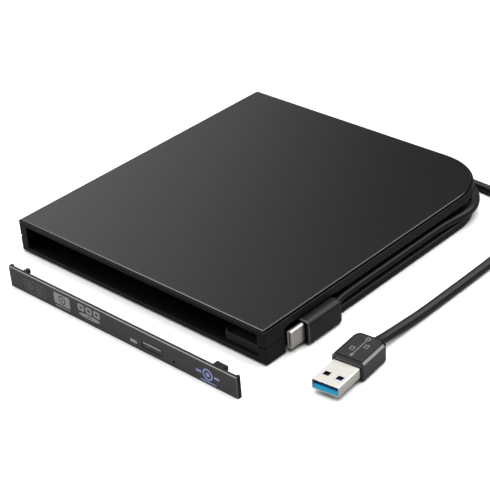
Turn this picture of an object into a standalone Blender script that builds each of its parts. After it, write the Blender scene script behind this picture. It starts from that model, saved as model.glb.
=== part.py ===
"""External case for a slim optical drive, with its loose drive bezel and two captive USB leads.

Blender 4.5. The scene is in metres with +Z up. Sizes below are in millimetres, and MM turns
them into metres. X runs across the case, positive to the right of someone who faces the open
bay, Y runs from the open front to the back, and Z runs up from the table. The origin is under
the middle of the case, at table height.
"""
import math

import bmesh
import bpy
from mathutils import Matrix, Vector

MM = 0.001
GAP = 0.3            # clearance that touching pieces keep

# Case
CASE_WIDTH = 142.0
CASE_DEPTH = 153.2
UNDERSIDE = 0.5      # the feet hold the case this far off the table
SEAM = 7.9           # where the two shells meet
RIM_TOP = 15.4       # top of the upper shell's rim
PLATE_TOP = 15.9
PLATE_THICKNESS = 0.9
CORNER_RADIUS = 28.0  # back right corner, round which the lead is led
ARC_STEPS = 12
RIGHT = CASE_WIDTH / 2
BACK = CASE_DEPTH / 2
LEFT = -RIGHT
FRONT = -BACK
CORNER = (RIGHT - CORNER_RADIUS, BACK - CORNER_RADIUS)

# Drive bay
BAY_FLOOR = 2.6
BAY_ROOF = 13.3
POST = 4.4           # width of the post at each side of the mouth
MOUTH_DEPTH = 4.0
BAY_INSET_RIGHT = 7.5
BAY_INSET_BACK = 9.7
STEP_WIDTH = 14.7    # the step that fills the notch in a slim drive's lower right side
STEP_TOP = 6.7
STEP_WALL = 1.4
STEP_FRONT = FRONT + 1.6
DRIVE_DEPTH = 127.0

# Lead groove in the right side and the back
GROOVE_LOW = 3.9
GROOVE_HIGH = 11.2
GROOVE_DEPTH = 5.0
EXIT_LEFT = LEFT + 26.2   # left end of the deep bay where both leads come out
EXIT_RIGHT = LEFT + 60.0
EXIT_INSET = 7.5
POCKET_FRONT = FRONT + 11.5
POCKET_BACK = FRONT + 41.5
POCKET_DEPTH = 3.2
POCKET_TOP = 12.1

# Case screws and feet
SCREW_HOLE = 1.3
SCREW_HEAD = 1.75
SCREW_HEAD_ROOM = 2.1
SCREW_SHANK = 1.0
SCREW_LENGTH = 11.6   # height that the screws' tips reach
BOSS = 2.6
FOOT_RADIUS = 4.0
FOOT_RECESS = 0.7

# Bridge board, behind the drive
BOARD_LOW = 4.6
BOARD_HIGH = 5.6
BOARD_FRONT = FRONT + DRIVE_DEPTH + 3.2
BOARD_BACK = BACK - BAY_INSET_BACK - 1.0
BOARD_LEFT = LEFT + 20
BOARD_RIGHT = RIGHT - 29
BOARD_POST = 2.4
ON_BOARD = BOARD_HIGH + GAP
SOCKET_LEFT = 10.0
SOCKET_WIDTH = 25.0
SOCKET_HEIGHT = 4.6

# Leads
C_LEAD_RADIUS = 1.95
A_LEAD_RADIUS = 2.05
INNER_LEAD_RADIUS = 0.9
GROOVE_LEAD_INSET = 2.75
GROOVE_LEAD_Z = 6.05
EXIT_C = (EXIT_LEFT + 3.6, BACK - 4.4, 5.5)    # where each lead leaves the exit block
EXIT_A = (EXIT_LEFT + 3.6, BACK - 3.7, 10.4)
RELIEF_LENGTH = 12.0

# USB-C plug, standing on its edge in the pocket
C_CENTRE_X = RIGHT + 0.85
C_CENTRE_Z = 5.85
C_MOULD = (6.9, 20.3, 10.4)
C_MOULD_FRONT = FRONT + 20.3
C_SHELL = (2.56, 7.3, 8.34)
C_WALL = 0.3
C_SLOT = (0.75, 4.8, 6.5)
C_PIVOT_Y = FRONT + 65.6

# USB-A plug, lying on the table beside the case
A_FRONT = (RIGHT + 29.8, FRONT - 0.8)
A_YAW = math.radians(5.7)
A_SHELL = (12.0, 14.2, 4.5)
A_WALL = 0.3
A_MOULD = (14.2, 18.0, 8.6)

# Loose bezel, standing on its lower edge in front of the case
BEZEL_WIDTH = 129.5
BEZEL_HEIGHT = 9.9
BEZEL_PLATE = 1.5
BEZEL_DEPTH = 2.2
BEZEL_CENTRE = 11.3
BEZEL_FRONT = FRONT - 21.5
BEZEL_RETURN = 1.3    # thickness of the turned-back ends
CLIP_DEPTH = 4.3
LAMP = (20.7, 2.9, 2.0, 0.8)       # x, z, half width and half height
BUTTON = (31.2, 3.75, 5.3, 1.35)
PINHOLE = (43.0, 2.5, 0.6)         # x, z, radius

PARTS = "external_optical_drive"


# --- helpers --------------------------------------------------------------------------------

def material(name, colour, roughness, metallic=0.0):
    """A Principled material, made once for each name."""
    found = bpy.data.materials.get(name)
    if found:
        return found
    made = bpy.data.materials.new(name)
    made.use_nodes = True
    shader = made.node_tree.nodes["Principled BSDF"]
    shader.inputs["Base Color"].default_value = (*colour, 1.0)
    shader.inputs["Roughness"].default_value = roughness
    shader.inputs["Metallic"].default_value = metallic
    made.diffuse_color = (*colour, 1.0)
    return made


def shell_plastic():
    return material("shell_plastic", (0.018, 0.018, 0.021), 0.42)


def plate_metal():
    return material("plate_metal", (0.045, 0.045, 0.047), 0.38, 0.6)


def lead_jacket():
    return material("lead_jacket", (0.020, 0.019, 0.018), 0.5)


def plug_rubber():
    return material("plug_rubber", (0.030, 0.030, 0.033), 0.45)


def plug_steel():
    return material("plug_steel", (0.72, 0.70, 0.66), 0.22, 1.0)


def contact_gold():
    return material("contact_gold", (0.80, 0.60, 0.25), 0.3, 1.0)


def board_green():
    return material("board_green", (0.02, 0.16, 0.07), 0.45)


def chip_black():
    return material("chip_black", (0.02, 0.02, 0.02), 0.6)


def solder_tin():
    return material("solder_tin", (0.60, 0.60, 0.60), 0.35, 1.0)


def screw_steel():
    return material("screw_steel", (0.12, 0.12, 0.12), 0.4, 1.0)


def foot_rubber():
    return material("foot_rubber", (0.03, 0.03, 0.03), 0.85)


def bezel_plastic():
    return material("bezel_plastic", (0.045, 0.045, 0.048), 0.5)


def clear_plastic():
    return material("clear_plastic", (0.75, 0.76, 0.74), 0.2)


def blue_plastic():
    return material("blue_plastic", (0.02, 0.38, 0.85), 0.4)


def collection(name):
    found = bpy.data.collections.get(name)
    if found:
        return found
    made = bpy.data.collections.new(name)
    bpy.context.scene.collection.children.link(made)
    return made


def place(name, data, finish=None):
    """Link data as a part when it has a finish, or as a hidden cutter when it has none."""
    made = bpy.data.objects.new(name, data)
    if finish is None:
        collection("cutters").objects.link(made)
        made.hide_render = True
        made.display_type = "WIRE"
    else:
        collection(PARTS).objects.link(made)
        data.materials.append(finish)
    return made


def mesh_from(bm, name):
    mesh = bpy.data.meshes.new(name)
    bm.to_mesh(mesh)
    bm.free()
    return mesh


def box(name, low, high, finish=None):
    """A box between two corners, with its origin at its middle."""
    size = [(b - a) * MM for a, b in zip(low, high)]
    bm = bmesh.new()
    bmesh.ops.create_cube(bm, size=1.0)
    bmesh.ops.scale(bm, vec=size, verts=bm.verts)
    made = place(name, mesh_from(bm, name), finish)
    made.location = [(a + b) / 2 * MM for a, b in zip(low, high)]
    return made


def cylinder(name, start, end, radius, finish=None, end_radius=None, sides=20):
    """A round bar or cone from start to end."""
    a = Vector(start) * MM
    b = Vector(end) * MM
    bm = bmesh.new()
    bmesh.ops.create_cone(bm, cap_ends=True, segments=sides, depth=(b - a).length,
                          radius1=radius * MM, radius2=(end_radius or radius) * MM)
    mesh = mesh_from(bm, name)
    mesh.shade_smooth()
    mesh.set_sharp_from_angle(angle=math.radians(40))
    made = place(name, mesh, finish)
    made.location = (a + b) / 2
    made.rotation_euler = (b - a).to_track_quat("Z", "Y").to_euler()
    return made


def slab(name, outline, low, high, finish=None):
    """A flat outline (x, y points) filled and given the height from low to high."""
    curve = bpy.data.curves.new(name, "CURVE")
    curve.dimensions = "2D"
    curve.fill_mode = "BOTH"
    curve.extrude = (high - low) / 2 * MM
    line = curve.splines.new("POLY")
    line.points.add(len(outline) - 1)
    for point, (x, y) in zip(line.points, outline):
        point.co = (x * MM, y * MM, 0.0, 1.0)
    line.use_cyclic_u = True
    guide = bpy.data.objects.new(name + "_outline", curve)
    collection("cutters").objects.link(guide)
    guide.location.z = (low + high) / 2 * MM
    bpy.context.view_layer.update()
    evaluated = guide.evaluated_get(bpy.context.evaluated_depsgraph_get())
    mesh = bpy.data.meshes.new_from_object(evaluated)
    mesh.name = name
    mesh.materials.clear()
    bm = bmesh.new()
    bm.from_mesh(mesh)
    bmesh.ops.remove_doubles(bm, verts=bm.verts, dist=0.00001)
    bm.to_mesh(mesh)
    bm.free()
    made = place(name, mesh, finish)
    made.matrix_world = guide.matrix_world.copy()
    bpy.data.objects.remove(guide)
    return made


def combine(target, other, operation="DIFFERENCE"):
    step = target.modifiers.new(other.name, "BOOLEAN")
    step.operation = operation
    step.object = other
    step.solver = "EXACT"
    return target


def soften(target, width, segments=2, angle=40):
    """Round the edges that are sharper than angle."""
    step = target.modifiers.new("Bevel", "BEVEL")
    step.width = width * MM
    step.segments = segments
    step.limit_method = "ANGLE"
    step.angle_limit = math.radians(angle)
    return target


def smooth_route(route, spacing):
    """Points at an even spacing along the smooth curve through the route's own points."""
    ends = [2 * Vector(route[0]) - Vector(route[1]), 2 * Vector(route[-1]) - Vector(route[-2])]
    knots = [ends[0]] + [Vector(p) for p in route] + [ends[1]]
    fine = []
    for p0, p1, p2, p3 in zip(knots, knots[1:], knots[2:], knots[3:]):
        for i in range(24):
            t = i / 24
            fine.append(0.5 * (2 * p1 + (p2 - p0) * t + (2 * p0 - 5 * p1 + 4 * p2 - p3) * t ** 2
                               + (3 * p1 - p0 - 3 * p2 + p3) * t ** 3))
    fine.append(knots[-2])
    total = sum((b - a).length for a, b in zip(fine, fine[1:]))
    count = max(2, round(total / spacing))
    points = [fine[0]]
    walked = 0.0
    for a, b in zip(fine, fine[1:]):
        span = (b - a).length
        while len(points) < count and walked + span >= total * len(points) / count:
            points.append(a.lerp(b, (total * len(points) / count - walked) / span))
        walked += span
    points.append(fine[-1])
    return points


def tube(name, route, radius, finish, spacing):
    """A round lead with filled ends along a smooth route."""
    curve = bpy.data.curves.new(name, "CURVE")
    curve.dimensions = "3D"
    curve.bevel_depth = radius * MM
    curve.bevel_resolution = 2
    curve.use_fill_caps = True
    points = smooth_route(route, spacing)
    line = curve.splines.new("POLY")
    line.points.add(len(points) - 1)
    for point, place_at in zip(line.points, points):
        point.co = (*(place_at * MM), 1.0)
    return place(name, curve, finish)


def arc(centre, radius, start, end, steps=ARC_STEPS):
    """Points along an arc, angles in degrees from +X."""
    angles = [math.radians(start + (end - start) * i / steps) for i in range(steps + 1)]
    return [(centre[0] + radius * math.cos(a), centre[1] + radius * math.sin(a)) for a in angles]


def case_outline(left, front, right, back):
    """The case seen from above, inset on each side, with its one round corner."""
    radius = CORNER_RADIUS - right
    centre = (RIGHT - right - radius, BACK - back - radius)
    return ([(LEFT + left, FRONT + front), (RIGHT - right, FRONT + front)]
            + arc(centre, radius, 0, 90) + [(LEFT + left, BACK - back)])


def rounded_outline(x0, y0, x1, y1, radius, steps=4):
    """A rectangle with four round corners."""
    points = []
    for cx, cy, start in ((x1 - radius, y0 + radius, -90), (x1 - radius, y1 - radius, 0),
                          (x0 + radius, y1 - radius, 90), (x0 + radius, y0 + radius, 180)):
        points += arc((cx, cy), radius, start, start + 90, steps)
    return points


def groove_outline():
    """The band that the lead groove takes out of the right side, the corner and the back."""
    outside = CORNER_RADIUS + 3
    inside = CORNER_RADIUS - GROOVE_DEPTH
    return ([(RIGHT + 3, POCKET_BACK - 1)] + arc(CORNER, outside, 0, 90)
            + [(EXIT_RIGHT - 1, BACK + 3), (EXIT_RIGHT - 1, BACK - GROOVE_DEPTH)]
            + arc(CORNER, inside, 90, 0) + [(RIGHT - GROOVE_DEPTH, POCKET_BACK - 1)])


# --- case -----------------------------------------------------------------------------------

def screw_places():
    """Centres of the four case screws."""
    return [(LEFT + 2.6, FRONT + 9), (RIGHT - 3.7, FRONT + 7.8), (LEFT + 12, BACK - 14),
            (RIGHT - 26, BACK - 16)]


def foot_places():
    return [(LEFT + 14, FRONT + 14), (RIGHT - 16, FRONT + 14), (LEFT + 14, BACK - 26),
            (RIGHT - 16, BACK - 30)]


def board_screw_places():
    return [(LEFT + 23.5, BACK - 20.2), (RIGHT - 32, BACK - 20.2)]


def hollow_out(shell, tag, low, high):
    """Cut the bay, its mouth, the lead groove, the exit bay and the plug pocket from a shell."""
    bay = slab(tag + "_bay", case_outline(POST, MOUTH_DEPTH - 1, BAY_INSET_RIGHT, BAY_INSET_BACK),
               max(low, BAY_FLOOR), min(high, BAY_ROOF))
    mouth = box(tag + "_mouth", (LEFT + POST, FRONT - 2, max(low, BAY_FLOOR)),
                (RIGHT - POST, FRONT + MOUTH_DEPTH, min(high, BAY_ROOF)))
    groove = slab(tag + "_groove", groove_outline(), max(low, GROOVE_LOW), min(high, GROOVE_HIGH))
    exit_bay = box(tag + "_exit_bay", (EXIT_LEFT, BACK - EXIT_INSET, max(low, BAY_FLOOR)),
                   (EXIT_RIGHT, BACK + 2, min(high, BAY_ROOF)))
    chamber = box(tag + "_chamber", (LEFT + 12, BACK - BAY_INSET_BACK - 2, max(low, BAY_FLOOR)),
                  (EXIT_LEFT + 0.5, BACK - 2.2, min(high, BAY_ROOF)))
    pocket = box(tag + "_pocket", (RIGHT - POCKET_DEPTH, POCKET_FRONT, max(low, UNDERSIDE - 1)),
                 (RIGHT + 2, POCKET_BACK, min(high, POCKET_TOP)))
    for cutter in (bay, mouth, groove, exit_bay, chamber, pocket):
        combine(shell, cutter)


def lower_shell():
    shell = slab("lower_shell", case_outline(0, 0, 0, 0), UNDERSIDE, SEAM - GAP / 2,
                 shell_plastic())
    hollow_out(shell, "lower", UNDERSIDE - 2, SEAM + 1)
    for i, (x, y) in enumerate(screw_places()[2:]):
        boss = cylinder(f"lower_boss_{i}", (x, y, BAY_FLOOR - 1), (x, y, SEAM - GAP / 2), BOSS)
        combine(shell, boss, "UNION")
    for i, (x, y) in enumerate(board_screw_places()):
        post = cylinder(f"board_post_{i}", (x, y, BAY_FLOOR - 1), (x, y, BOARD_LOW - GAP),
                        BOARD_POST)
        combine(shell, post, "UNION")
        hole = cylinder(f"board_post_hole_{i}", (x, y, BAY_FLOOR), (x, y, BOARD_LOW + 1), 1.1)
        combine(shell, hole)
    for i, (x, y) in enumerate(screw_places()):
        hole = cylinder(f"screw_hole_{i}", (x, y, 0), (x, y, SEAM + 1), SCREW_HOLE)
        head_room = cylinder(f"screw_head_room_{i}", (x, y, 0), (x, y, UNDERSIDE + 1.5),
                             SCREW_HEAD_ROOM)
        combine(shell, hole)
        combine(shell, head_room)
    for i, (x, y) in enumerate(foot_places()):
        recess = cylinder(f"foot_recess_{i}", (x, y, 0), (x, y, UNDERSIDE + FOOT_RECESS),
                          FOOT_RADIUS + GAP)
        combine(shell, recess)


def upper_shell():
    shell = slab("upper_shell", case_outline(0, 0, 0, 0), SEAM + GAP / 2, RIM_TOP,
                 shell_plastic())
    deck = PLATE_TOP - PLATE_THICKNESS - GAP
    recess = slab("plate_recess", case_outline(0.5, 0.5, 0.5, 0.5), deck, RIM_TOP + 1)
    combine(shell, recess)
    hollow_out(shell, "upper", SEAM - 1, PLATE_TOP)
    for i, (x, y) in enumerate(screw_places()[2:]):
        boss = cylinder(f"upper_boss_{i}", (x, y, SEAM + GAP / 2), (x, y, BAY_ROOF + 0.5), BOSS)
        combine(shell, boss, "UNION")
    for i, (x, y) in enumerate(screw_places()):
        socket = cylinder(f"screw_socket_{i}", (x, y, SEAM - 1), (x, y, SCREW_LENGTH + 0.6),
                          SCREW_HOLE)
        combine(shell, socket)


def top_plate():
    """The brushed cover, glued to the deck, with a dark gap along its right edge."""
    slab("top_plate", case_outline(0.8, 0.8, 1.3, 0.8), PLATE_TOP - PLATE_THICKNESS, PLATE_TOP,
         plate_metal())


def drive_step():
    """The hollow step under the drive's thinner right side."""
    right = RIGHT - BAY_INSET_RIGHT - GAP
    left = right - STEP_WIDTH
    mouth_right = RIGHT - POST - GAP
    behind_mouth = FRONT + MOUTH_DEPTH - GAP
    back = STEP_FRONT + DRIVE_DEPTH - 6
    outline = [(left, STEP_FRONT), (mouth_right, STEP_FRONT), (mouth_right, behind_mouth),
               (right, behind_mouth), (right, back), (left, back)]
    step = slab("drive_step", outline, BAY_FLOOR + GAP, STEP_TOP, shell_plastic())
    hollow = box("drive_step_hollow", (left + STEP_WALL, STEP_FRONT + STEP_WALL, 0),
                 (right - STEP_WALL, back - STEP_WALL, STEP_TOP - STEP_WALL))
    combine(step, hollow)


def feet():
    for i, (x, y) in enumerate(foot_places()):
        top = UNDERSIDE + FOOT_RECESS - GAP
        foot = cylinder(f"foot_{i + 1}", (x, y, 0), (x, y, top), FOOT_RADIUS, foot_rubber(),
                        sides=24)
        soften(foot, 0.15, 1)


def case_screws():
    """Four pan-head screws from below, each with its cross recess."""
    head_low = UNDERSIDE + 0.3
    head_top = UNDERSIDE + 1.2
    slot_top = UNDERSIDE + 0.7
    for i, (x, y) in enumerate(screw_places()):
        screw = cylinder(f"case_screw_{i + 1}", (x, y, head_low), (x, y, head_top), SCREW_HEAD,
                         screw_steel(), sides=16)
        shank = cylinder(f"case_screw_shank_{i}", (x, y, head_top - 0.2), (x, y, SCREW_LENGTH),
                         SCREW_SHANK, sides=12)
        combine(screw, shank, "UNION")
        for turn, (half_x, half_y) in enumerate(((0.22, 1.1), (1.1, 0.22))):
            slot = box(f"case_screw_slot_{i}_{turn}", (x - half_x, y - half_y, 0),
                       (x + half_x, y + half_y, slot_top))
            combine(screw, slot)


# --- bridge board ---------------------------------------------------------------------------

def bridge_board():
    board = box("bridge_board", (BOARD_LEFT, BOARD_FRONT, BOARD_LOW),
                (BOARD_RIGHT, BOARD_BACK, BOARD_HIGH), board_green())
    head_top = ON_BOARD + 1.0
    for i, (x, y) in enumerate(board_screw_places()):
        combine(board, cylinder(f"board_hole_{i}", (x, y, 0), (x, y, 9), 1.3))
        screw = cylinder(f"board_screw_{i + 1}", (x, y, ON_BOARD), (x, y, head_top), 2.0,
                         solder_tin(), sides=16)
        shank = cylinder(f"board_screw_shank_{i}", (x, y, BAY_FLOOR + 0.6), (x, y, ON_BOARD + 0.2),
                         0.8, sides=12)
        slot = box(f"board_screw_slot_{i}", (x - 1.2, y - 0.25, ON_BOARD + 0.6),
                   (x + 1.2, y + 0.25, 9))
        combine(screw, shank, "UNION")
        combine(screw, slot)


def drive_socket():
    """The slim drive connector: a housing with one tongue for data and one for power."""
    left, right = SOCKET_LEFT, SOCKET_LEFT + SOCKET_WIDTH
    front = BOARD_FRONT - 2.0
    housing = box("sata_socket", (left, front, ON_BOARD),
                  (right, BOARD_FRONT + 5, ON_BOARD + SOCKET_HEIGHT), chip_black())
    mouth = box("sata_mouth", (left + 1, front - 2, ON_BOARD + 0.9),
                (right - 1, BOARD_FRONT + 3.2, ON_BOARD + SOCKET_HEIGHT - 0.9))
    combine(housing, mouth)
    for name, start, end in (("data", 2.2, 10.4), ("power", 12.2, 22.8)):
        box(f"sata_{name}_tongue", (left + start, front + 0.6, ON_BOARD + 1.8),
            (left + end, BOARD_FRONT + 2.9, ON_BOARD + 2.9), contact_gold())


def board_parts():
    """What the bridge needs: controller, crystal, coil, regulator and capacitors."""
    middle = (BOARD_FRONT + BOARD_BACK) / 2
    for name, x, width, low_y, depth, height, finish, edge in (
            ("bridge_chip", -6.0, 8.0, middle - 4, 8.0, 1.0, chip_black(), 0),
            ("crystal", 5.0, 5.0, middle - 0.8, 3.2, 1.2, solder_tin(), 0.5),
            ("power_coil", -17.0, 5.2, middle - 2.6, 5.2, 2.6, chip_black(), 0.8),
            ("voltage_regulator", -24.0, 3.6, middle - 1.8, 3.6, 1.5, chip_black(), 0),
            ("capacitor_1", 3.4, 1.2, BOARD_BACK - 2.2, 1.6, 0.9, clear_plastic(), 0),
            ("capacitor_2", 5.8, 1.2, BOARD_BACK - 2.2, 1.6, 0.9, clear_plastic(), 0),
            ("capacitor_3", 8.2, 1.2, BOARD_BACK - 2.2, 1.6, 0.9, clear_plastic(), 0)):
        part = box(name, (x, low_y, ON_BOARD), (x + width, low_y + depth, ON_BOARD + height), finish)
        if edge:
            soften(part, edge, 1)


# --- leads ----------------------------------------------------------------------------------

def exit_block():
    """The moulded block, held between the shells, that both leads come out of."""
    block = box("lead_exit_block", (EXIT_LEFT + GAP, BACK - EXIT_INSET + GAP, BAY_FLOOR + GAP),
                (EXIT_C[0], BACK - GAP, BAY_ROOF - GAP), plug_rubber())
    soften(block, 0.4, 1)
    start = EXIT_A[0] + GAP
    cylinder("usb_a_strain_relief", (start, EXIT_A[1], EXIT_A[2]),
             (start + RELIEF_LENGTH, EXIT_A[1], EXIT_A[2]), 2.6, plug_rubber(), end_radius=2.1)


def inner_leads():
    """The leads inside the case, from the exit block to their sockets on the board."""
    back = BOARD_BACK - 3.0
    plug_z = ON_BOARD + 1.5
    start = EXIT_LEFT
    sockets = {"usb_c": BOARD_LEFT + 7.5, "usb_a": BOARD_LEFT + 17.5}
    for lead, x in sockets.items():
        socket = box(lead + "_board_socket", (x, back - 3.2, ON_BOARD), (x + 6, back, ON_BOARD + 3.0),
                     clear_plastic())
        soften(socket, 0.2, 1)
    route = [(start, EXIT_C[1], EXIT_C[2]), (start - 4.2, EXIT_C[1] - 0.2, 5.8),
             (start - 7.2, EXIT_C[1] - 3.2, 6.6), (start - 5.7, EXIT_C[1] - 7.2, 7.2),
             (start - 1.5, back - 1.0, plug_z), (sockets["usb_c"] - GAP, back - 1.6, plug_z)]
    tube("usb_c_inner_lead", route, INNER_LEAD_RADIUS, lead_jacket(), 2.4)
    route = [(start, EXIT_A[1], EXIT_A[2]), (start - 5, EXIT_A[1] - 0.4, 10.8),
             (start - 9, EXIT_A[1] - 5, 11.0), (start - 6, EXIT_A[1] - 8.6, 11.0),
             (start + 1, back + 1.8, 10.8), (start + 7, back + 0.8, 10.4),
             (sockets["usb_a"] - 3.4, back - 0.8, 8.6), (sockets["usb_a"] - 1.8, back - 1.6, plug_z),
             (sockets["usb_a"] - GAP, back - 1.6, plug_z)]
    tube("usb_a_inner_lead", route, INNER_LEAD_RADIUS, lead_jacket(), 2.4)


def c_lead_corner():
    """The lead bows out of the groove round the case's corner."""
    points = []
    for angle, radius in ((88, 26.2), (72, 28.0), (56, 28.8), (40, 28.85), (24, 28.5), (8, 27.3)):
        a = math.radians(angle)
        points.append((CORNER[0] + radius * math.cos(a), CORNER[1] + radius * math.sin(a),
                       GROOVE_LEAD_Z))
    return points


def c_lead():
    """The lead that lies in the groove, split where the plug's end of it bends outwards."""
    back = BACK - GROOVE_LEAD_INSET
    side = RIGHT - GROOVE_LEAD_INSET
    z = GROOVE_LEAD_Z
    start = (EXIT_C[0] + GAP, EXIT_C[1], EXIT_C[2])
    route = [start, (EXIT_C[0] + 8, EXIT_C[1], EXIT_C[2]), (EXIT_RIGHT - 12, back - 1.0, z - 0.3),
             (EXIT_RIGHT - 3, back, z), (EXIT_RIGHT + 12, back, z), (20, back, z)]
    route += c_lead_corner()
    route += [(side + 0.2, CORNER[1] - 10, z), (side, CORNER[1] - 20, z), (side, 8, z),
              (side, C_PIVOT_Y + GAP / 2, z)]
    tube("usb_c_lead", route, C_LEAD_RADIUS, lead_jacket(), 4.6)
    mould_back = C_MOULD_FRONT + C_MOULD[1]
    route = [(side, C_PIVOT_Y - GAP / 2, z), (side, C_PIVOT_Y - 6, z),
             (side + 0.1, mould_back + 14, z), (side + 0.9, mould_back + 7, z),
             (side + 1.9, mould_back + 2.5, C_CENTRE_Z), (side + 2.2, mould_back + GAP, C_CENTRE_Z)]
    return tube("usb_c_lead_end", route, C_LEAD_RADIUS, lead_jacket(), 3.0)


def c_plug():
    """USB-C plug on edge: overmould, steel shell and the slotted insulator inside it."""
    half = C_MOULD[0] / 2
    x, z = C_CENTRE_X, C_CENTRE_Z
    front, back = C_MOULD_FRONT, C_MOULD_FRONT + C_MOULD[1]
    mould = box("usb_c_overmould", (x - half, front, z - C_MOULD[2] / 2),
                (x + half, back, z + C_MOULD[2] / 2), plug_rubber())
    soften(mould, 0.9, 3)
    outline = rounded_outline(x - C_SHELL[0] / 2, z - C_SHELL[2] / 2, x + C_SHELL[0] / 2,
                              z + C_SHELL[2] / 2, 1.2)
    inner = rounded_outline(x - C_SHELL[0] / 2 + C_WALL, z - C_SHELL[2] / 2 + C_WALL,
                            x + C_SHELL[0] / 2 - C_WALL, z + C_SHELL[2] / 2 - C_WALL, 0.9)
    tip = front - GAP - C_SHELL[1]
    shell = slab("usb_c_shell", outline, -front + GAP, -tip, plug_steel())
    hollow = slab("usb_c_hollow", inner, -front + 1.2, -tip + 1)
    for piece in (shell, hollow):
        piece.matrix_world = Matrix.Rotation(math.radians(90), 4, "X") @ piece.matrix_world
    combine(shell, hollow)
    half_w = C_SHELL[0] / 2 - C_WALL - GAP
    half_h = C_SHELL[2] / 2 - C_WALL - GAP
    insulator = box("usb_c_insulator", (x - half_w, tip + 0.4, z - half_h),
                    (x + half_w, front - 1.6, z + half_h), chip_black())
    slot = box("usb_c_slot", (x - C_SLOT[0] / 2, tip - 1, z - C_SLOT[2] / 2),
               (x + C_SLOT[0] / 2, tip + C_SLOT[1], z + C_SLOT[2] / 2))
    combine(insulator, slot)
    return [mould, shell, insulator]


def a_frame():
    """Turns the USB-A plug's own axes (x across, y from tip to cord) into the table's."""
    return (Matrix.Translation(Vector((A_FRONT[0], A_FRONT[1], A_MOULD[2] / 2)) * MM)
            @ Matrix.Rotation(A_YAW, 4, "Z"))


def a_plug():
    """USB-A plug in its own frame: tip at y = 0, cord end at +Y, z from the plug's middle."""
    half_w, length, half_h = A_SHELL[0] / 2, A_SHELL[1], A_SHELL[2] / 2
    shell = box("usb_a_shell", (-half_w, 0, -half_h), (half_w, length, half_h), plug_steel())
    soften(shell, 0.35, 1)
    hollow = box("usb_a_hollow", (-half_w + A_WALL, -1, -half_h + A_WALL),
                 (half_w - A_WALL, length - 0.8, half_h - A_WALL))
    windows = [box(f"usb_a_window_{i}", (x - 1.15, 4.6, -half_h - 1), (x + 1.15, 6.6, half_h + 1))
               for i, x in enumerate((-2.9, 2.9))]
    combine(shell, hollow)
    for window in windows:
        combine(shell, window)
    insulator = box("usb_a_insulator", (-5.4, 0.3, -half_h + A_WALL + GAP), (5.4, length - 1.2, 0.2),
                    blue_plastic())
    contacts = []
    for i, x in enumerate((-3.5, -1.0, 1.0, 3.5)):
        contacts.append(box(f"usb_a_contact_{i + 1}", (x - 0.5, 1.4, 0.5), (x + 0.5, 8.4, 0.7),
                            contact_gold()))
    for i in range(5):
        x = -3.2 + 1.6 * i
        contacts.append(box(f"usb_a_fast_contact_{i + 1}", (x - 0.35, 9.2, 0.5), (x + 0.35, 11.6, 0.9),
                            contact_gold()))
    mould_front = length + GAP
    mould = slab("usb_a_overmould", rounded_outline(-A_MOULD[0] / 2, mould_front, A_MOULD[0] / 2,
                                                    mould_front + A_MOULD[1], 1.6),
                 -A_MOULD[2] / 2, A_MOULD[2] / 2, plug_rubber())
    soften(mould, 0.8, 2, 60)
    for piece in [shell, hollow, insulator, mould] + windows + contacts:
        piece.matrix_world = a_frame() @ piece.matrix_world


def a_lead():
    """The free lead: out of the exit bay, down to the table behind the case and round to its plug."""
    table = A_LEAD_RADIUS + 0.05
    start_x = EXIT_A[0] + GAP + RELIEF_LENGTH + GAP
    plug_end = a_frame() @ Vector((0, (A_SHELL[1] + GAP + A_MOULD[1] + GAP) * MM, 0)) / MM
    behind = BACK + 5.3
    route = [(start_x, EXIT_A[1], EXIT_A[2]), (start_x + 4.5, EXIT_A[1] + 0.3, EXIT_A[2] - 0.2),
             (start_x + 11.5, EXIT_A[1] + 2.3, 9.6), (start_x + 19.5, BACK + 1.9, 7.9),
             (start_x + 30, BACK + 4.6, 4.7), (start_x + 42, behind, table + 0.25),
             (28, behind + 0.1, table), (44, behind - 0.1, table), (60, behind - 0.6, table),
             (73, behind - 2.6, table), (84, behind - 9, table), (92, behind - 19, table),
             (96.0, behind - 32, table), (97.4, behind - 47, table), (97.7, behind - 64, table),
             (97.7, behind - 82, table), (97.7, behind - 98, table + 0.15),
             (plug_end.x - 0.1, plug_end.y + 9, table + 1.15), tuple(plug_end)]
    tube("usb_a_lead", route, A_LEAD_RADIUS, lead_jacket(), 4.6)


# --- bezel ----------------------------------------------------------------------------------

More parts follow.
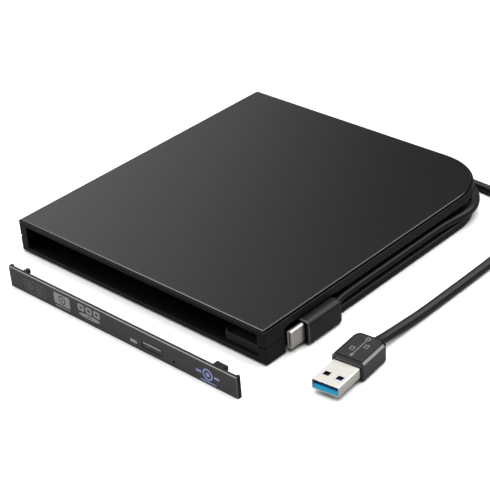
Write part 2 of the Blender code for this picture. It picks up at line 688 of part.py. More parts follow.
def bezel():
    """The drive's own front, which pushes into the mouth once a drive is in."""
    left = BEZEL_CENTRE - BEZEL_WIDTH / 2
    right = BEZEL_CENTRE + BEZEL_WIDTH / 2
    inside = BEZEL_FRONT + 0.5
    behind = BEZEL_FRONT + BEZEL_PLATE
    panel = box("bezel_panel", (left, BEZEL_FRONT, 0), (right, behind, BEZEL_HEIGHT),
                bezel_plastic())
    for side, x in (("left", left), ("right", right - BEZEL_RETURN)):
        turned = box(f"bezel_{side}_return", (x, inside, 0),
                     (x + BEZEL_RETURN, BEZEL_FRONT + BEZEL_DEPTH, BEZEL_HEIGHT))
        combine(panel, turned, "UNION")
    for side, start, end in (("left", left + 7.4, left + 9.2), ("right", right - 13.6, right - 8.0)):
        clip = box(f"bezel_{side}_clip", (start, inside, BEZEL_HEIGHT - 2.4),
                   (end, BEZEL_FRONT + CLIP_DEPTH, BEZEL_HEIGHT - 0.4))
        combine(panel, clip, "UNION")
    for name, (x, z, half_w, half_h) in (("lamp", LAMP), ("button", BUTTON)):
        hole = box(f"bezel_{name}_hole", (x - half_w - GAP, BEZEL_FRONT - 1, z - half_h - GAP),
                   (x + half_w + GAP, behind + 1.5, z + half_h + GAP))
        combine(panel, hole)
    x, z, radius = PINHOLE
    combine(panel, cylinder("bezel_pinhole", (x, BEZEL_FRONT - 1, z), (x, behind + 1.5, z), radius,
                            sides=12))
    x, z, half_w, half_h = LAMP
    box("lamp_window", (x - half_w, BEZEL_FRONT + 0.05, z - half_h),
        (x + half_w, behind + 0.3, z + half_h), clear_plastic())
    x, z, half_w, half_h = BUTTON
    button = box("eject_button", (x - half_w, BEZEL_FRONT - 0.15, z - half_h),
                 (x + half_w, behind + 0.5, z + half_h), bezel_plastic())
    soften(button, 0.15, 1)


# --- joints ---------------------------------------------------------------------------------

def hang_on(empty_name, at, objects):
    """Parent moving pieces to an empty on their joint's axis."""
    pivot = bpy.data.objects.new(empty_name, None)
    pivot.location = Vector(at) * MM
    collection(PARTS).objects.link(pivot)
    bpy.context.view_layer.update()
    for piece in objects:
        world = piece.matrix_world.copy()
        piece.parent = pivot
        piece.matrix_parent_inverse = pivot.matrix_world.inverted()
        piece.matrix_world = world


def main():
    for old in list(bpy.data.objects):
        bpy.data.objects.remove(old)
    lower_shell()
    upper_shell()
    top_plate()
    drive_step()
    feet()
    case_screws()
    bridge_board()
    drive_socket()
    board_parts()
    exit_block()
    inner_leads()
    lead_end = c_lead()
    plug = c_plug()
    a_plug()
    a_lead()
    bezel()
    hang_on("usb_c_plug_pivot", (RIGHT - GROOVE_LEAD_INSET + C_LEAD_RADIUS, C_PIVOT_Y, C_CENTRE_Z),
            plug + [lead_end])


main()
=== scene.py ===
"""Looks for an external case for slim optical drives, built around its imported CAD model."""
import math

import bmesh
import bpy
from mathutils import Matrix, Vector

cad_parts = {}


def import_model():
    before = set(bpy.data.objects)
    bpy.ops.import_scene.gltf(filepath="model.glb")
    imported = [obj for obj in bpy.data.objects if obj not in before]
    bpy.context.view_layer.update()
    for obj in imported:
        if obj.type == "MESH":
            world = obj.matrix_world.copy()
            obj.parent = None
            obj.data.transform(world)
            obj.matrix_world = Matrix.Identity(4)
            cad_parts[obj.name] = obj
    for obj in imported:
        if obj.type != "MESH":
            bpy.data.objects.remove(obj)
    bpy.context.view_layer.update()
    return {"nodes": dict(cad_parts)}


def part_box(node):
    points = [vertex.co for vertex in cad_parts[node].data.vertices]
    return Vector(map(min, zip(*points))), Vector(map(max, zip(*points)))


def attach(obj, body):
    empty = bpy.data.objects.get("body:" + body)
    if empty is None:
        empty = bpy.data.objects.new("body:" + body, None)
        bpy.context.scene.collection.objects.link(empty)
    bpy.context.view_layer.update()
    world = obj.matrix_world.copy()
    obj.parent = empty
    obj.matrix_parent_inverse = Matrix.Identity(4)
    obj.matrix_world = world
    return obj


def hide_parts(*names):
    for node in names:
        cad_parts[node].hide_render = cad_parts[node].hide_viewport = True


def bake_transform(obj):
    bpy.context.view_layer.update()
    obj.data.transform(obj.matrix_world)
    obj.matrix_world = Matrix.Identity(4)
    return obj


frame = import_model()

scene = bpy.context.scene

# Sizes are in millimetres, in the frame's own axes: x to the right of the open front, y to the
# back, z up from the table.
MM = 0.001
GAP = 0.3                # kept between solids that would touch
UPRIGHT = Matrix.Rotation(math.radians(90), 4, "X")   # stands a flat outline on its edge
WELD = 0.002 * MM        # points closer than this become one
FLAT = math.radians(0.2)                 # an edge that bends less than this goes

# Camera
CAMERA_AT = Vector((0.40356, -0.41825, 0.34457))
CAMERA_AZIMUTH = math.radians(44.78)
CAMERA_ELEVATION = math.radians(31.28)
CAMERA_ROLL = math.radians(-4.44)
CAMERA_LENS = 113.65
CAMERA_SENSOR = 36.0

# Studio
GLOW_AZIMUTH = math.radians(10)          # of the left glow's middle, from -x towards the front
GLOW_RAMP = (0.42, 0.66, 0.0, 1.35)      # cosine from the middle: from, to, strength at each
SKY_RAMP = (0.75, 0.98, 0.03, 1.0)       # height in the sky: from, to, strength at each
FLOOR_TONE = 0.97
FLOOR_BOUNCE = 0.27                      # what the floor gives back to the object

# Case
RIGHT = 71.0
BACK = 76.6
LEFT = -RIGHT
FRONT = -BACK
CORNER_RADIUS = 28.0
UNDERSIDE = 0.5
SEAM = 7.9
SEAM_GAP = 0.28
RIM_TOP = 15.4
PLATE_LOW = 15.0
PLATE_TOP = 15.9
DECK = 14.7
BAY_FLOOR = 2.6
BAY_ROOF = 13.3
POST = 4.4
MOUTH_DEPTH = 4.0
BAY_INSET_RIGHT = 7.5
BAY_INSET_BACK = 9.7
STEP_TOP = 6.7
STEP_LIP = 7.6
GROOVE_LOW = 3.9
GROOVE_HIGH = 11.2
GROOVE_DEPTH = 5.0
LEDGE_CHAMFER = 0.35             # along the lower lip of the lead groove
GAP_CHANNEL = (0.5, 2.6, 13.0)   # beside the cover: inset from, inset to, lowest z
EXIT_LEFT = LEFT + 26.2
EXIT_RIGHT = LEFT + 60.0
EXIT_INSET = 7.5
POCKET_FRONT = FRONT + 11.5
POCKET_BACK = FRONT + 41.5
POCKET_DEPTH = 3.2
POCKET_TOP = 12.1
CORNER_AT = (RIGHT - CORNER_RADIUS, BACK - CORNER_RADIUS)
SCREWS = [(LEFT + 2.6, FRONT + 9), (RIGHT - 3.7, FRONT + 7.8), (LEFT + 12, BACK - 14),
          (RIGHT - 26, BACK - 16)]
FEET = [(LEFT + 14, FRONT + 14), (RIGHT - 16, FRONT + 14), (LEFT + 14, BACK - 26),
        (RIGHT - 16, BACK - 30)]
BOARD_SCREWS = [(LEFT + 23.5, BACK - 20.2), (RIGHT - 32, BACK - 20.2)]
BOSS_RADIUS = 2.6        # of the pillars that the case screws go into
POST_RADIUS = 2.4        # of the shorter ones under the board
POST_TOP = 4.3
SCREW_HOLE = 1.3         # radii of the holes: for a case screw, its head, a board screw, a foot
HEAD_HOLE = 2.1
BOARD_HOLE = 1.1
FOOT_HOLE = 4.3
VENTS = (6, 4.0, 1.4)    # slots underneath: how many, pitch, width

# Leads
C_LEAD_RADIUS = 1.95
A_LEAD_RADIUS = 2.05
C_PIVOT_Y = FRONT + 65.6
LEAD_INSET = 2.75                               # of the captive lead in its groove
LEAD_HEIGHT = 6.05
EXIT_C = (EXIT_LEFT + 3.6, BACK - 4.4, 5.5)
EXIT_A = (EXIT_LEFT + 3.6, BACK - 3.7, 10.4)
RELIEF = (EXIT_A[0] + 0.3, 12.0, 2.6, 2.1)      # start x, length, radius at each end

# Plugs
C_AT = (RIGHT + 0.85, 5.85)                     # x and z of the plug's middle
C_GRIP = (6.9, 20.3, 10.4)
C_GRIP_FRONT = FRONT + 20.3
C_TIP = (2.56, 7.3, 8.34)
C_MOUTH = (0.34, 3.2)                           # half its width and height
C_CONTACTS = (12, 0.5)                          # on each side of the tongue slot, and pitch
A_AT = (RIGHT + 29.8, FRONT - 0.8, 4.3)
A_YAW = math.radians(5.7)
# from the USB-A plug's own axes, x across and y from its tip to its lead, to the table's
A_FRAME = Matrix.Translation(Vector(A_AT) * MM) @ Matrix.Rotation(A_YAW, 4, "Z")
A_TIP = (12.0, 14.2, 4.5)
A_WALL = 0.3
A_GRIP = (14.2, 18.0, 8.6)
A_FLAT_X = (-3.5, -1.0, 1.0, 3.5)               # flat contacts, across the plug
A_SPRUNG_X = (-3.2, -1.6, 0.0, 1.6, 3.2)        # sprung contacts

# Bezel
BEZEL_LEFT = 11.3 - 129.5 / 2
BEZEL_RIGHT = 11.3 + 129.5 / 2
BEZEL_HEIGHT = 9.9
BEZEL_FRONT = FRONT - 21.5
BEZEL_PLATE = 1.5
BEZEL_DEPTH = 2.2
LAMP = (20.7, 2.9, 2.0, 0.8)
BUTTON = (31.2, 3.75, 5.3, 1.35)
PINHOLE = (43.0, 2.5, 0.7)

# Controller
LEGS = (12, 0.46)        # on each side, and pitch


# --- camera, floor and lights ------------------------------------------------------------------

def linked(name, data):
    """A new object in the scene."""
    made = bpy.data.objects.new(name, data)
    scene.collection.objects.link(made)
    return made


def fill(node, values):
    """Set several inputs of a node."""
    for key, value in values.items():
        node.inputs[key].default_value = value


def add(tree, kind, values=None):
    """A new shader node, with some of its inputs set."""
    made = tree.nodes.new("ShaderNode" + kind)
    fill(made, values or {})
    return made


def join(source, output, target, key):
    """Link an output of one node to an input of another."""
    source.id_data.links.new(source.outputs[output], target.inputs[key])


def camera():
    a, e, r = CAMERA_AZIMUTH, CAMERA_ELEVATION, CAMERA_ROLL
    back = Vector((math.sin(a) * math.cos(e), -math.cos(a) * math.cos(e), math.sin(e)))
    level = Vector((math.cos(a), math.sin(a), 0))
    upright = back.cross(level)
    right = math.cos(r) * level + math.sin(r) * upright
    up = math.cos(r) * upright - math.sin(r) * level
    data = bpy.data.cameras.new("camera")
    data.lens = CAMERA_LENS
    data.sensor_width = CAMERA_SENSOR
    made = linked("camera", data)
    turn = Matrix((right, up, back)).transposed().to_4x4()
    made.matrix_world = Matrix.Translation(CAMERA_AT) @ turn
    scene.camera = made


def floor():
    bm = bmesh.new()
    bmesh.ops.create_grid(bm, x_segments=1, y_segments=1, size=6.0)
    mesh = bpy.data.meshes.new("floor")
    bm.to_mesh(mesh)
    bm.free()
    made = linked("floor", mesh)
    white = finish("floor_white", (FLOOR_TONE,) * 3, 0.9, specular=0.0)
    tree = white.node_tree
    path = add(tree, "LightPath")
    tone = add(tree, "MapRange", {"To Min": FLOOR_BOUNCE, "To Max": FLOOR_TONE})
    join(path, "Is Camera Ray", tone, "Value")
    join(tone, "Result", tree.nodes["Principled BSDF"], "Base Color")
    mesh.materials.append(white)


def light(name, at, size, power):
    """A soft box that faces the middle of the table."""
    data = bpy.data.lights.new(name, "AREA")
    data.shape = "RECTANGLE"
    data.size, data.size_y = size
    data.energy = power
    made = linked(name, data)
    made.location = at
    made.rotation_euler = (-Vector(at)).to_track_quat("-Z", "Y").to_euler()


def world():
    """A dim studio: a broad soft glow from the left that dies away towards the back."""
    made = bpy.data.worlds.new("studio")
    made.use_nodes = True
    tree = made.node_tree
    sky = tree.nodes["Background"]
    fill(sky, {"Color": (1, 1, 1, 1)})
    place = add(tree, "TexCoord")
    split = add(tree, "SeparateXYZ")
    toward = add(tree, "VectorMath", {1: (-math.cos(GLOW_AZIMUTH), -math.sin(GLOW_AZIMUTH), 0)})
    toward.operation = "DOT_PRODUCT"
    keys = ("From Min", "From Max", "To Min", "To Max")
    glow, rise = (add(tree, "MapRange", dict(zip(keys, ramp))) for ramp in (GLOW_RAMP, SKY_RAMP))
    total = add(tree, "Math")
    join(place, "Generated", toward, 0)
    join(place, "Generated", split, "Vector")
    join(toward, "Value", glow, "Value")
    join(split, "Z", rise, "Value")
    join(glow, "Result", total, 0)
    join(rise, "Result", total, 1)
    join(total, "Value", sky, "Strength")
    scene.world = made


# --- materials ---------------------------------------------------------------------------------

def finish(name, base, roughness, metallic=0, specular=0.5, grain=0, grain_size=0.3,
           mottle=0, mottle_size=6, uneven=0, stretch=(1, 1, 1)):
    """A Principled material whose tone, gloss and surface vary with noise on the piece itself.

    grain is the strength of the fine surface texture and grain_size its size; mottle is the
    share by which the tone wanders, and uneven the amount by which the roughness does. stretch
    draws the grain out along an axis, as brushing does.
    """
    made = bpy.data.materials.new("look_" + name)
    made.use_nodes = True
    made.diffuse_color = (*base, 1)
    tree = made.node_tree
    shader = tree.nodes["Principled BSDF"]
    fill(shader, {"Base Color": (*base, 1), "Roughness": roughness, "Metallic": metallic,
                  "Specular IOR Level": specular})
    place = add(tree, "TexCoord")
    if grain or uneven:
        scale = add(tree, "Mapping", {"Scale": [s / (grain_size * MM) for s in stretch]})
        fine = add(tree, "TexNoise", {"Scale": 1.0, "Detail": 3.0})
        join(place, "Object", scale, "Vector")
        join(scale, "Vector", fine, "Vector")
        if grain:
            bump = add(tree, "Bump", {"Strength": grain, "Distance": grain_size * MM * 0.3})
            join(fine, "Fac", bump, "Height")
            join(bump, "Normal", shader, "Normal")
        if uneven:
            gloss = add(tree, "MapRange", {"From Min": 0.3, "From Max": 0.7,
                                           "To Min": roughness - uneven,
                                           "To Max": roughness + uneven})
            join(fine, "Fac", gloss, "Value")
            join(gloss, "Result", shader, "Roughness")
    if mottle:
        broad = add(tree, "TexNoise", {"Scale": 1 / (mottle_size * MM), "Detail": 2.0})
        tone = add(tree, "Mix")
        tone.data_type = "RGBA"
        fill(tone, {"A": (*[c * (1 - mottle) for c in base], 1),
                    "B": (*[c * (1 + mottle) for c in base], 1)})
        join(place, "Object", broad, "Vector")
        join(broad, "Fac", tone, "Factor")
        join(tone, "Result", shader, "Base Color")
    return made


LOOKS = {
    "shell_plastic": ((0.0045, 0.0045, 0.0058), 0.44, 0, 0.22, 0.22, 0.25, 0.08, 6, 0.05),
    "step_plastic": ((0.016, 0.016, 0.018), 0.5, 0, 0.3, 0.2, 0.25, 0.08, 6, 0.05),
    "plate_metal": ((0.006, 0.006, 0.0062), 0.25, 0, 0.5, 0.015, 0.12, 0.04, 30, 0.01),
    "lead_jacket": ((0.005, 0.0047, 0.0045), 0.4, 0, 0.35, 0.15, 0.2, 0.1, 6, 0.05),
    "plug_rubber": ((0.011, 0.0111, 0.013), 0.44, 0, 0.32, 0.18, 0.2, 0.06, 6, 0.05),
    # a lighter copy of the grip rubber for its front rim faces: a painted highlight
    "plug_edge_painted_highlight": ((0.13, 0.13, 0.14), 0.35, 0, 0.5, 0.08, 0.2, 0.05, 6, 0.04),
    "plug_gloss": ((0.0055, 0.0055, 0.0062), 0.15, 0, 0.9, 0, 0.3, 0.05, 6),
    "plug_steel": ((0.8, 0.78, 0.72), 0.28, 0.55, 0.5, 0, 0.3, 0.012, 3),
    "tip_steel": ((0.66, 0.62, 0.57), 0.3, 0.8, 0.5, 0.004, 0.1, 0.015, 2, 0.015),
    # a bright cream, non-metal copy of the tip steel for its front faces: a painted highlight
    "nose_steel_painted_highlight": ((0.95, 0.92, 0.84), 0.4, 0, 0.5, 0.004, 0.1, 0.015, 2, 0.015),
    "contact_gold": ((0.86, 0.62, 0.24), 0.26, 1, 0.5, 0.05, 0.1, 0.06, 1, 0.05),
    "chip_black": ((0.014, 0.014, 0.015), 0.6, 0, 0.35, 0.3, 0.12, 0.1, 2, 0.05),
    "solder_tin": ((0.62, 0.62, 0.6), 0.34, 1, 0.5, 0.1, 0.2, 0.08, 1, 0.08),
    "screw_steel": ((0.1, 0.1, 0.105), 0.38, 1, 0.5, 0.08, 0.15, 0.1, 1, 0.08),
    "foot_rubber": ((0.014, 0.014, 0.014), 0.85, 0, 0.25, 0.35, 0.25, 0.15, 3, 0.05),
    "bezel_plastic": ((0.066, 0.066, 0.069), 0.52, 0, 0.35, 0.16, 0.2, 0.04, 6, 0.04),
    # a lighter grey for the front chamfers of the bezel and the eject key: a painted highlight
    "bezel_edge_painted_highlight": ((0.22, 0.22, 0.22), 0.35, 0, 0.5, 0.08, 0.2, 0.05, 6, 0.04),
    "clear_plastic": ((0.46, 0.47, 0.45), 0.22, 0, 0.5, 0.03, 0.3, 0.05, 1),
    "nylon": ((0.62, 0.6, 0.54), 0.45, 0, 0.5, 0.1, 0.3, 0.05, 2),
    "blue_plastic": ((0.02, 0.58, 1), 0.36, 0, 0.5, 0.05, 0.2, 0.05, 2),
    # a darker navy copy of the blue insulator plastic: painted shade inside the USB-A mouth
    "blue_plastic_painted_shade": ((0.005, 0.08, 0.4), 0.38, 0, 0.3, 0.05, 0.2, 0.05, 2),
    "print_grey": ((0.42, 0.42, 0.42), 0.6, 0, 0.5, 0.1, 0.15, 0.1),
    "print_faint": ((0.125, 0.125, 0.125), 0.6, 0, 0.5, 0.1, 0.15, 0.1),
    "print_soft": ((0.13, 0.13, 0.13), 0.6, 0, 0.5, 0.1, 0.15, 0.1),
    "print_lavender": ((0.42, 0.46, 0.86), 0.6, 0, 0.5, 0.1, 0.15, 0.1),
}
BRUSHED = {"plate_metal": (1, 0.02, 1), "tip_steel": (1, 0.05, 1)}     # scale along x, y, z


def look(name):
    """The material of that name in LOOKS, made when it is first asked for."""
    made = bpy.data.materials.get("look_" + name)
    return made or finish(name, *LOOKS[name], stretch=BRUSHED.get(name, (1, 1, 1)))


def board_green():
    """Solder mask over copper tracks, drawn as a fine rectangular maze."""
    made = finish("board_green", (0.010, 0.085, 0.035), 0.32, grain=0.08)
    tree = made.node_tree
    place = next(node for node in tree.nodes if node.type == "TEX_COORD")
    tracks = add(tree, "TexBrick", {
        "Scale": 420, "Mortar Size": 0.05, "Mortar Smooth": 0.1, "Brick Width": 1.4,
        "Row Height": 0.35, "Color1": (0.010, 0.085, 0.035, 1),
        "Color2": (0.012, 0.10, 0.04, 1), "Mortar": (0.03, 0.20, 0.08, 1)})
    join(place, "Object", tracks, "Vector")
    join(tracks, "Color", tree.nodes["Principled BSDF"], "Base Color")
    return made


# --- mesh helpers ------------------------------------------------------------------------------

def from_bmesh(name, bm):
    """An object at the origin, from a bmesh drawn in millimetres."""
    bmesh.ops.scale(bm, vec=(MM, MM, MM), verts=bm.verts)
    bmesh.ops.recalc_face_normals(bm, faces=bm.faces)
    mesh = bpy.data.meshes.new(name)
    bm.to_mesh(mesh)
    bm.free()
    return linked(name, mesh)


def prism(name, outline, low, high, turn=None):
    """A flat outline, given the height from low to high and then turned by a matrix."""
    bm = bmesh.new()
    bottom = [bm.verts.new((x, y, low)) for x, y in outline]
    top = [bm.verts.new((x, y, high)) for x, y in outline]
    bm.faces.new(bottom)
    bm.faces.new(top)
    for i in range(len(outline)):
        j = (i + 1) % len(outline)
        bm.faces.new((bottom[i], bottom[j], top[j], top[i]))
    if turn is not None:
        bmesh.ops.transform(bm, matrix=turn, verts=bm.verts)
    return from_bmesh(name, bm)


def block(name, low, high, turn=None):
    outline = [(low[0], low[1]), (high[0], low[1]), (high[0], high[1]), (low[0], high[1])]
    return prism(name, outline, low[2], high[2], turn)


def skin(bm, rings):
    """Join each ring of vertices to the next, and close both ends."""
    for lower, upper in zip(rings, rings[1:]):
        for i in range(len(lower)):
            j = (i + 1) % len(lower)
            bm.faces.new((lower[i], lower[j], upper[j], upper[i]))
    bm.faces.new(rings[0])
    bm.faces.new(rings[-1])


def turned(name, profile, at, turn=None, sides=32):
    """A solid of revolution: profile is (radius, height) from its lower to its upper pole."""
    bm = bmesh.new()
    skin(bm, [[bm.verts.new((x, y, height)) for x, y in circle(0, 0, radius, steps=sides)]
              for radius, height in profile])
    if turn is not None:
        bmesh.ops.transform(bm, matrix=turn, verts=bm.verts)
    bmesh.ops.translate(bm, vec=at, verts=bm.verts)
    return from_bmesh(name, bm)


def bar(name, x, y, low, high, radius, sides=28):
    return turned(name, [(radius, low), (radius, high)], (x, y, 0), sides=sides)


def evaluated_mesh(target):
    """A new mesh of what an object shows, with its modifiers."""
    bpy.context.view_layer.update()
    evaluated = target.evaluated_get(bpy.context.evaluated_depsgraph_get())
    return bpy.data.meshes.new_from_object(evaluated)


def settle(target):
    """Make the modifiers of a piece part of its mesh."""
    mesh = evaluated_mesh(target)
    mesh.name = target.name
    old = target.data
    target.modifiers.clear()
    target.data = mesh
    bpy.data.meshes.remove(old)


def carve(target, cutters, operation="DIFFERENCE"):
    """Cut away or add the cutters, which are used up."""
    for cutter in cutters:
        step = target.modifiers.new(cutter.name, "BOOLEAN")
        step.operation = operation
        step.object = cutter
        step.solver = "EXACT"
    settle(target)
    for cutter in cutters:
        bpy.data.objects.remove(cutter)


def cleaned(target):
    """A bmesh of the piece, without doubled points and needless edges."""
    bm = bmesh.new()
    bm.from_mesh(target.data)
    bmesh.ops.remove_doubles(bm, verts=bm.verts, dist=WELD)
    bmesh.ops.dissolve_limit(bm, angle_limit=FLAT, verts=bm.verts, edges=bm.edges)
    return bm


def sharp_edges(bm, angle):
    """Each edge that bends more than angle, with its middle (mm) and its direction."""
    for edge in bm.edges:
        if len(edge.link_faces) == 2 and edge.calc_face_angle(0) > math.radians(angle):
            a, b = (v.co / MM for v in edge.verts)
            yield edge, (a + b) / 2, (b - a).normalized()


def smoothed(target, angle):
    target.data.shade_smooth()
    target.data.set_sharp_from_angle(angle=math.radians(angle))


def rounded(target, width, share=None, segments=3, angle=33, crisp=None):
    """Round the edges sharper than angle by width, or by the part of it that share gives.

    share is asked with an edge's middle and direction. crisp is the angle above which edges
    stay sharp in the shading.
    """
    bm = cleaned(target)
    weight = bm.edges.layers.float.new("bevel_weight_edge")
    for edge, middle, along in sharp_edges(bm, angle):
        edge[weight] = 1.0 if share is None else share(middle, along)
    bm.to_mesh(target.data)
    bm.free()
    step = target.modifiers.new("round", "BEVEL")
    step.limit_method = "WEIGHT"
    step.width = width * MM
    step.segments = segments
    step.use_clamp_overlap = False
    target.data.shade_smooth()
    if crisp is None:
        target.modifiers.new("normals", "WEIGHTED_NORMAL").keep_sharp = True
    settle(target)
    if crisp is not None:
        target.data.set_sharp_from_angle(angle=math.radians(crisp))


def chamfer(target, width, wanted):
    """Cut a flat, crisp chamfer along the edges that wanted picks by middle and direction."""
    bm = cleaned(target)
    edges = [edge for edge, middle, along in sharp_edges(bm, 60) if wanted(middle, along)]
    made = bmesh.ops.bevel(bm, geom=edges, offset=width * MM, offset_type="OFFSET", segments=1,
                           profile=0.5, affect="EDGES", clamp_overlap=False)
    for face in made["faces"]:
        for edge in face.edges:
            if edge.calc_face_angle(0) > math.radians(20):
                edge.smooth = False
    bm.to_mesh(target.data)
    bm.free()


def arc(centre, radius, start, end, steps=48):
    """Points along an arc, angles in degrees from +X."""
    angles = [math.radians(start + (end - start) * i / steps) for i in range(steps + 1)]
    return [(centre[0] + radius * math.cos(a), centre[1] + radius * math.sin(a)) for a in angles]


def round_rectangle(x0, y0, x1, y1, radius, steps=6):
    points = []
    for cx, cy, start in ((x1 - radius, y0 + radius, -90), (x1 - radius, y1 - radius, 0),
                          (x0 + radius, y1 - radius, 90), (x0 + radius, y0 + radius, 180)):
        points += arc((cx, cy), radius, start, start + 90, steps)
    return points


def centred(x, y, half_w, half_h, radius, steps=6):
    return round_rectangle(x - half_w, y - half_h, x + half_w, y + half_h, radius, steps)


def smooth_route(route, spacing):
    """Points at an even spacing along the smooth curve through the route's own points."""
    ends = [2 * Vector(route[0]) - Vector(route[1]), 2 * Vector(route[-1]) - Vector(route[-2])]
    knots = [ends[0]] + [Vector(p) for p in route] + [ends[1]]
    fine = []
    for p0, p1, p2, p3 in zip(knots, knots[1:], knots[2:], knots[3:]):
        for i in range(24):
            t = i / 24
            fine.append(0.5 * (2 * p1 + (p2 - p0) * t + (2 * p0 - 5 * p1 + 4 * p2 - p3) * t ** 2
                               + (3 * p1 - p0 - 3 * p2 + p3) * t ** 3))
    fine.append(knots[-2])
    total = sum((b - a).length for a, b in zip(fine, fine[1:]))
    count = max(2, round(total / spacing))
    points = [fine[0]]
    walked = 0.0
    for a, b in zip(fine, fine[1:]):
        span = (b - a).length
        while len(points) < count and walked + span >= total * len(points) / count:
            points.append(a.lerp(b, (total * len(points) / count - walked) / span))
        walked += span
    points.append(fine[-1])
    return points


def tube(name, points, radius, sides=28):
    """A round lead along points, with softly rounded ends."""
    tangents = []
    for i in range(len(points)):
        a, b = points[max(0, i - 1)], points[min(len(points) - 1, i + 1)]
        tangents.append((b - a).normalized())
    side = tangents[0].orthogonal().normalized()
    stations = []
    for point, tangent in zip(points, tangents):
        side = (side - side.dot(tangent) * tangent).normalized()
        stations.append((point, tangent, side, radius))
    soft = 0.25     # how far each end's edge is cut back
    p, t, s, r = stations[0]
    stations[:1] = [(p, t, s, r - soft), (p + t * soft, t, s, r)]
    p, t, s, r = stations[-1]
    stations[-1:] = [(p - t * soft, t, s, r), (p, t, s, r - soft)]
    bm = bmesh.new()
    rings = []
    for point, tangent, across, r in stations:
        other = tangent.cross(across)
        rings.append([bm.verts.new(point + r * (math.cos(2 * math.pi * i / sides) * across
                                                + math.sin(2 * math.pi * i / sides) * other))
                      for i in range(sides)])
    skin(bm, rings)
    made = from_bmesh(name, bm)
    made.data.shade_smooth()
    return made


def printed(name, outlines, turn):
    """A thin printed mark; an outline inside another one is a hole."""
    curve = bpy.data.curves.new(name, "CURVE")
    curve.dimensions = "2D"
    curve.fill_mode = "BOTH"
    curve.extrude = 0.02 * MM
    for outline in outlines:
        line = curve.splines.new("POLY")
        line.points.add(len(outline) - 1)
        for point, (x, y) in zip(line.points, outline):
            point.co = (x * MM, y * MM, 0.0, 1.0)
        line.use_cyclic_u = True
    drawn = linked(name + "_curve", curve)
    mesh = evaluated_mesh(drawn)
    mesh.name = name
    bpy.data.objects.remove(drawn)
    bm = bmesh.new()
    bm.from_mesh(mesh)
    bmesh.ops.remove_doubles(bm, verts=bm.verts, dist=WELD)
    bmesh.ops.transform(bm, matrix=turn, verts=bm.verts)
    bmesh.ops.recalc_face_normals(bm, faces=bm.faces)
    bm.to_mesh(mesh)
    bm.free()
    return linked(name, mesh)


def circle(x, y, radius, high=None, steps=30):
    """A circle, or an ellipse when it is given a height of its own."""
    high = radius if high is None else high
    angles = [2 * math.pi * i / steps for i in range(steps)]
    return [(x + radius * math.cos(a), y + high * math.sin(a)) for a in angles]


def route_length(points):
    """The length of a route, in metres."""
    return sum((b - a).length for a, b in zip(points, points[1:])) * MM


def dress(piece, finish_name, slot, *nodes, body="case"):
    """Give a piece its material and body, and let it stand for its CAD nodes; slot is not used."""
    piece.data.materials.clear()
    piece.data.materials.append(look(finish_name))
    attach(piece, body)
    if nodes:
        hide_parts(*nodes)


def also_look(piece, finish_name, wanted):
    """Give another material to the faces that wanted picks by middle (mm) and normal."""
    piece.data.materials.append(look(finish_name))
    for face in piece.data.polygons:
        if wanted(face.center / MM, face.normal):
            face.material_index = len(piece.data.materials) - 1


# --- leads -------------------------------------------------------------------------------------

def a_lead_points():
    table = A_LEAD_RADIUS + 0.05
    start_x = RELIEF[0] + RELIEF[1] + GAP
    plug_end = A_FRAME @ (Vector((0, A_TIP[1] + GAP + A_GRIP[1] + GAP, 0)) * MM) / MM
    behind = BACK + 5.3
    route = [(start_x, EXIT_A[1], EXIT_A[2]), (start_x + 4.5, EXIT_A[1] + 0.3, EXIT_A[2] - 0.2),
             (start_x + 11.5, EXIT_A[1] + 2.3, 9.6), (start_x + 19.5, BACK + 1.9, 7.9),
             (start_x + 30, BACK + 4.6, 4.7), (start_x + 42, behind, table + 0.25),
             (28, behind + 0.1, table), (44, behind - 0.1, table), (60, behind - 0.6, table),
             (73, behind - 2.6, table), (84, behind - 9, table), (92, behind - 19, table),
             (96.0, behind - 32, table), (97.4, behind - 47, table), (97.7, behind - 64, table),
             (97.7, behind - 82, table), (97.7, behind - 98, table + 0.15),
             (plug_end.x - 0.1, plug_end.y + 9, table + 1.15), tuple(plug_end)]
    return smooth_route(route, 2.0)


def c_lead_points():
    back, side, z = BACK - LEAD_INSET, RIGHT - LEAD_INSET, LEAD_HEIGHT
    grip_back = C_GRIP_FRONT + C_GRIP[1]
    route = [(EXIT_C[0] + 0.3, EXIT_C[1], EXIT_C[2]), (EXIT_C[0] + 8, EXIT_C[1], EXIT_C[2]),
             (EXIT_RIGHT - 12, back - 1.0, z - 0.3), (EXIT_RIGHT - 3, back, z),
             (EXIT_RIGHT + 12, back, z), (20, back, z)]
    for angle, radius in ((88, 26.2), (72, 28.0), (56, 28.8), (40, 28.85), (24, 28.5), (8, 27.3)):
        a = math.radians(angle)
        route.append((CORNER_AT[0] + radius * math.cos(a), CORNER_AT[1] + radius * math.sin(a), z))
    route += [(side + 0.2, CORNER_AT[1] - 10, z), (side, CORNER_AT[1] - 20, z), (side, 8, z),
              (side, C_PIVOT_Y, z), (side, C_PIVOT_Y - 6, z), (side, grip_back + 14, z),
              (side + 0.3, grip_back + 7, z), (side + 0.9, grip_back + 2.5, C_AT[1]),
              (side + 1.2, grip_back + 0.3, C_AT[1])]
    return smooth_route(route, 1.5)


def strain_relief():
    """The tapered sleeve that the free lead comes out of, with its ring grooves."""
    start, length, wide, narrow = RELIEF
    profile = [(wide - 0.25, 0), (wide, 0.25)]
    rings = 5
    for i in range(rings):
        at = 1.6 + i * (length - 2.6) / rings
        radius = wide + (narrow - wide) * at / length
        profile += [(radius, at), (radius - 0.35, at + 0.25), (radius - 0.35, at + 0.75),
                    (radius - 0.03, at + 1.0)]
    profile += [(narrow, length - 0.25), (narrow - 0.2, length)]
    turn = Matrix.Rotation(math.radians(90), 4, "Y")
    made = turned("usb_a_relief", profile, (start, EXIT_A[1], EXIT_A[2]), turn)
    smoothed(made, 50)
    dress(made, "plug_rubber", "plug_rubber", "usb_a_strain_relief")


# --- case --------------------------------------------------------------------------------------

